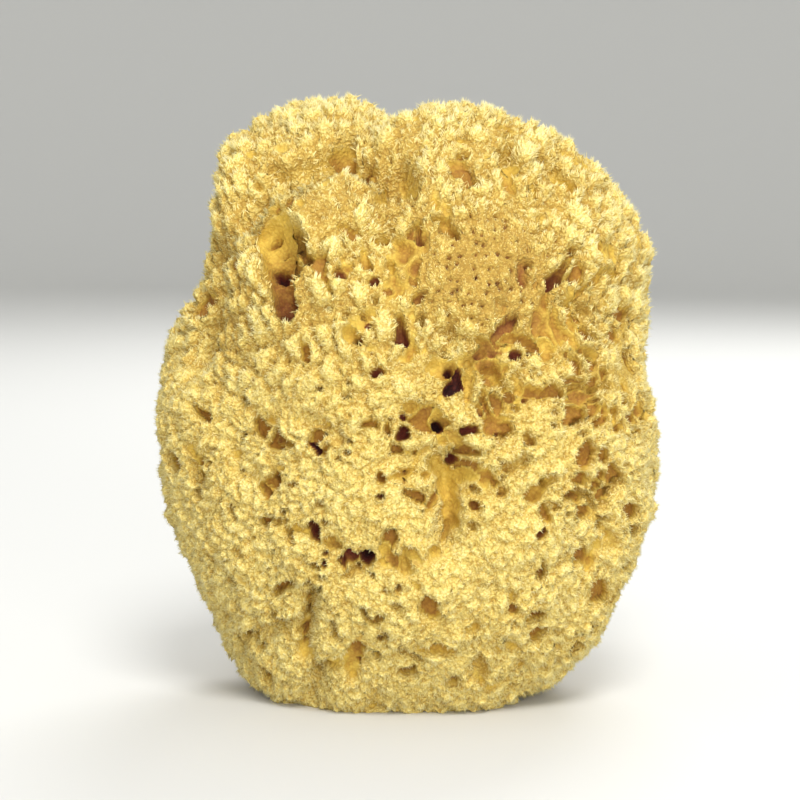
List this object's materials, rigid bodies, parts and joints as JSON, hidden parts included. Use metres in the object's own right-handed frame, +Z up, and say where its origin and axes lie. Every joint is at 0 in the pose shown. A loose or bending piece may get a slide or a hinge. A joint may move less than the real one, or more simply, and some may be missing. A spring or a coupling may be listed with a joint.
{
  "type": "sea sponge",
  "caption": "Dried honeycomb sea sponge: a rounded, lobed mass of fibre with open canals and hollows, cut flat at the foot so that it stands.",
  "frame": {"origin": "on the cut foot, under the middle of the sponge's bounding box", "axes": "+Z up, through the two lobes at the top; -Y is the front, with the great canal mouth; +X is to the right seen from the front"},
  "size_m": [0.138, 0.0986, 0.1603],
  "materials": {
    "sponge_fibre": "matte, dry, tufted fibre, pale straw at the tips and amber to dark brown in the canals"
  },
  "bodies": {
    "root": {"sponge": "sponge_fibre"}
  },
  "joints": []
}
